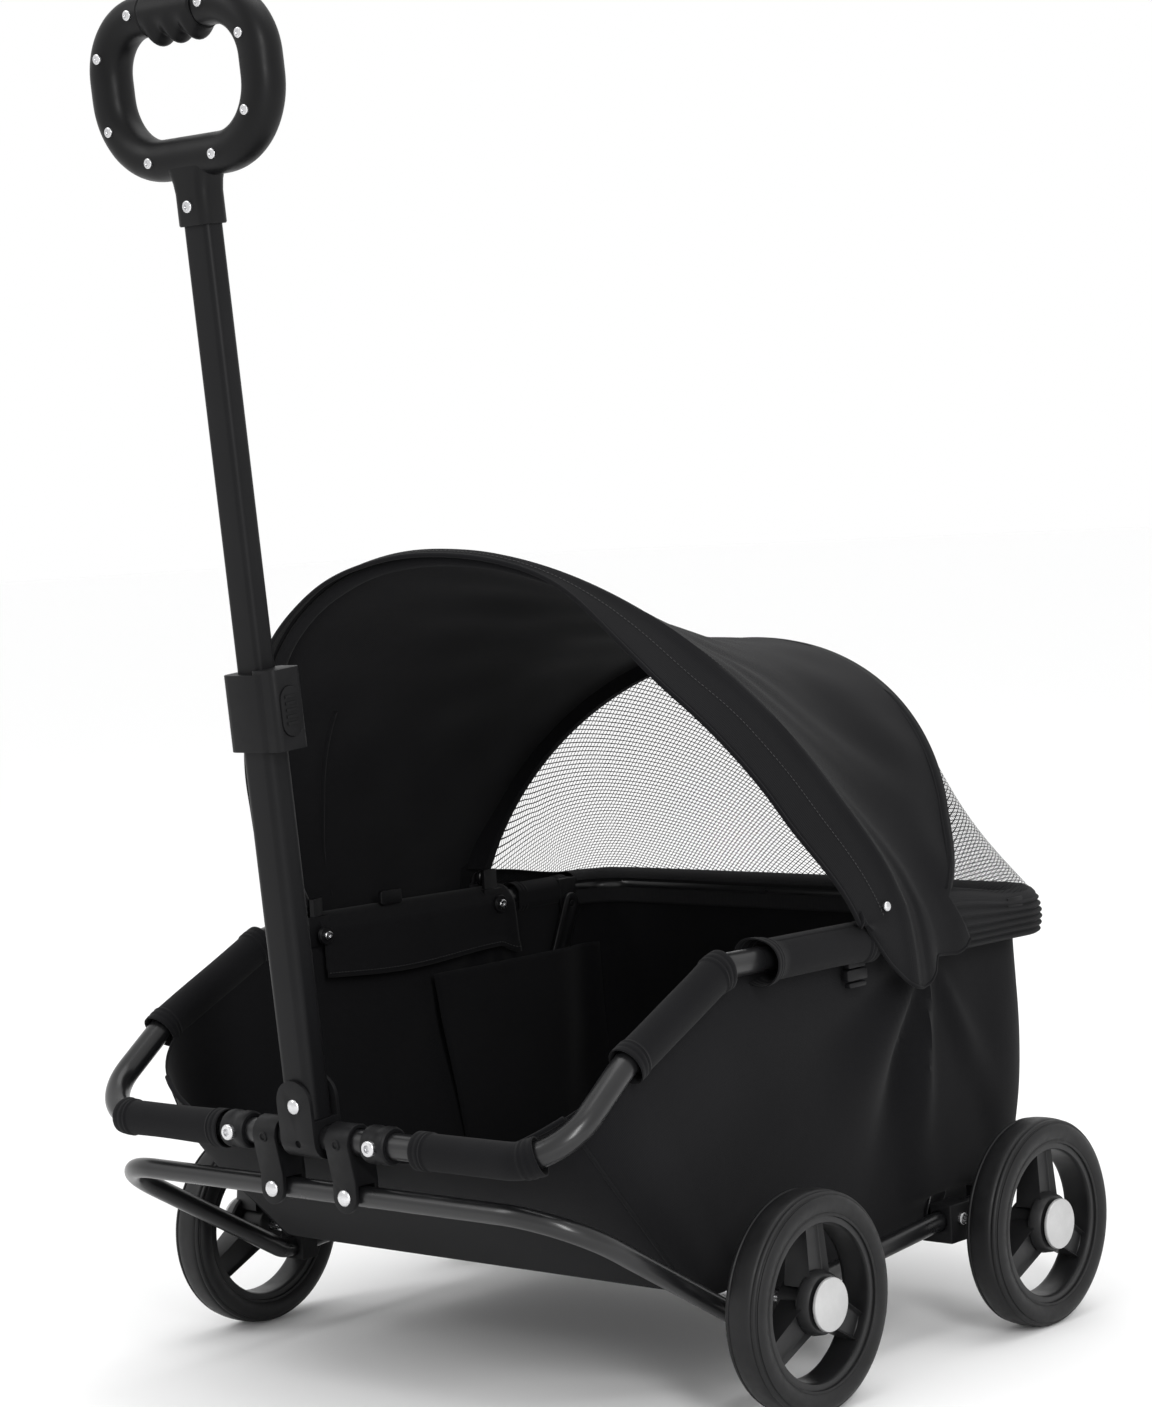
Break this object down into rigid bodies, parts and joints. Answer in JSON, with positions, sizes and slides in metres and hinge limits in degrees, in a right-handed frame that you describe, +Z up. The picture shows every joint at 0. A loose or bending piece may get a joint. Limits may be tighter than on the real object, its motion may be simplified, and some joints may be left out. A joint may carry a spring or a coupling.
{
  "type": "pet stroller",
  "caption": "Folding pet wagon stroller with a telescopic pull handle, four spoked wheels, a fabric basket in a tube frame and a folding arched canopy with a mesh rear.",
  "frame": {"origin": "on the ground, at the bottom centre of the bounding box", "axes": "+Z up; -Y towards the front, where the pull handle stands; +X to one side; the wheels' axles lie along X"},
  "size_m": [0.6424, 0.7313, 1.0807],
  "materials": {
    "tube_paint": "gloss",
    "bright_steel": "satin",
    "plastic": "fine grain",
    "grip": "satin",
    "tyre": "matte",
    "fabric": "plain weave",
    "mesh_fabric": "open mesh",
    "pad_fabric": "short pile",
    "board": "wrapped board"
  },
  "bodies": {
    "base": {"base_tube": "tube_paint", "axle_front": "bright_steel", "axle_rear": "bright_steel", "axle_block_front_r": "plastic", "axle_block_front_l": "plastic", "axle_block_rear_r": "plastic", "axle_block_rear_l": "plastic", "hinge_bracket_r": "plastic", "hinge_bracket_l": "plastic", "bracket_rivet_r": "bright_steel", "bracket_rivet_l": "bright_steel", "prop_seat_r": "plastic", "prop_seat_l": "plastic", "seat_bolt_r": "bright_steel", "seat_bolt_l": "bright_steel", "basket": "fabric", "floor_board": "board", "floor_pad": "pad_fabric"},
    "rim": {"rim_front_tube": "tube_paint", "rim_rear_tube": "tube_paint", "tube_collar_r": "plastic", "tube_collar_l": "plastic", "collar_bolt_r": "bright_steel", "collar_bolt_l": "bright_steel", "front_bow_clip_r": "plastic", "front_bow_clip_l": "plastic", "mid_bow_clip_r": "plastic", "mid_bow_clip_l": "plastic", "prop_hanger_r": "plastic", "prop_hanger_l": "plastic", "mid_bow": "tube_paint", "canopy_panel": "fabric", "canopy_mesh": "mesh_fabric"},
    "prop_right": {"prop_r": "tube_paint"},
    "prop_left": {"prop_l": "tube_paint"},
    "front_bow_body": {"front_bow": "tube_paint"},
    "pole": {"clevis": "plastic", "clevis_rivet": "bright_steel", "lower_tube": "tube_paint", "lock_collar": "plastic"},
    "button": {"lock_button": "plastic"},
    "mast": {"upper_tube": "tube_paint", "handle_loop": "grip", "handle_grip": "grip", "neck_screw": "bright_steel"},
    "wheel_body_front_r": {"tyre_front_r": "tyre", "wheel_front_r": "plastic", "hub_cap_front_r": "bright_steel"},
    "wheel_body_front_l": {"tyre_front_l": "tyre", "wheel_front_l": "plastic", "hub_cap_front_l": "bright_steel"},
    "wheel_body_rear_r": {"tyre_rear_r": "tyre", "wheel_rear_r": "plastic", "hub_cap_rear_r": "bright_steel"},
    "wheel_body_rear_l": {"tyre_rear_l": "tyre", "wheel_rear_l": "plastic", "hub_cap_rear_l": "bright_steel"}
  },
  "joints": [
    {"name": "wheel_front_r_roll", "type": "hinge", "parent": "base", "child": "wheel_body_front_r", "pos_m": [0.2985, -0.062, 0.085], "axis": [1, 0, 0], "continuous": true},
    {"name": "wheel_front_l_roll", "type": "hinge", "parent": "base", "child": "wheel_body_front_l", "pos_m": [-0.2985, -0.062, 0.085], "axis": [1, 0, 0], "continuous": true},
    {"name": "wheel_rear_r_roll", "type": "hinge", "parent": "base", "child": "wheel_body_rear_r", "pos_m": [0.2985, 0.25, 0.085], "axis": [1, 0, 0], "continuous": true},
    {"name": "wheel_rear_l_roll", "type": "hinge", "parent": "base", "child": "wheel_body_rear_l", "pos_m": [-0.2985, 0.25, 0.085], "axis": [1, 0, 0], "continuous": true},
    {"name": "rim_fold", "type": "hinge", "parent": "base", "child": "rim", "pos_m": [0, -0.279, 0.223], "axis": [-1, 0, 0], "range_deg": [0, 18], "deforming": ["basket"]},
    {"name": "prop_r_fold", "type": "hinge", "parent": "rim", "child": "prop_right", "pos_m": [0.233, 0.295, 0.322], "axis": [-1, 0, 0], "range_deg": [0, 64.8]},
    {"name": "prop_l_fold", "type": "hinge", "parent": "rim", "child": "prop_left", "pos_m": [-0.233, 0.295, 0.322], "axis": [-1, 0, 0], "range_deg": [0, 64.8]},
    {"name": "canopy_fold", "type": "hinge", "parent": "rim", "child": "front_bow_body", "pos_m": [0, 0.051, 0.358], "axis": [-0.9516, -0.3074, 0], "range_deg": [0, 48], "deforming": ["canopy_panel"]},
    {"name": "pole_tilt", "type": "hinge", "parent": "base", "child": "pole", "pos_m": [0, -0.279, 0.223], "axis": [1, 0, 0], "range_deg": [-12, 60]},
    {"name": "mast_slide", "type": "slide", "parent": "pole", "child": "mast", "axis": [0, 0.0828, -0.9966], "range_m": [0, 0.262]},
    {"name": "lock_press", "type": "slide", "parent": "pole", "child": "button", "axis": [-1, 0, 0], "range_m": [0, 0.003], "stiffness_N_per_m": 400, "springref_m": -0.001}
  ],
  "couplings": [
    {"joint": "prop_r_fold", "follows": "rim_fold", "ratio": 3.6},
    {"joint": "prop_l_fold", "follows": "rim_fold", "ratio": 3.6}
  ]
}
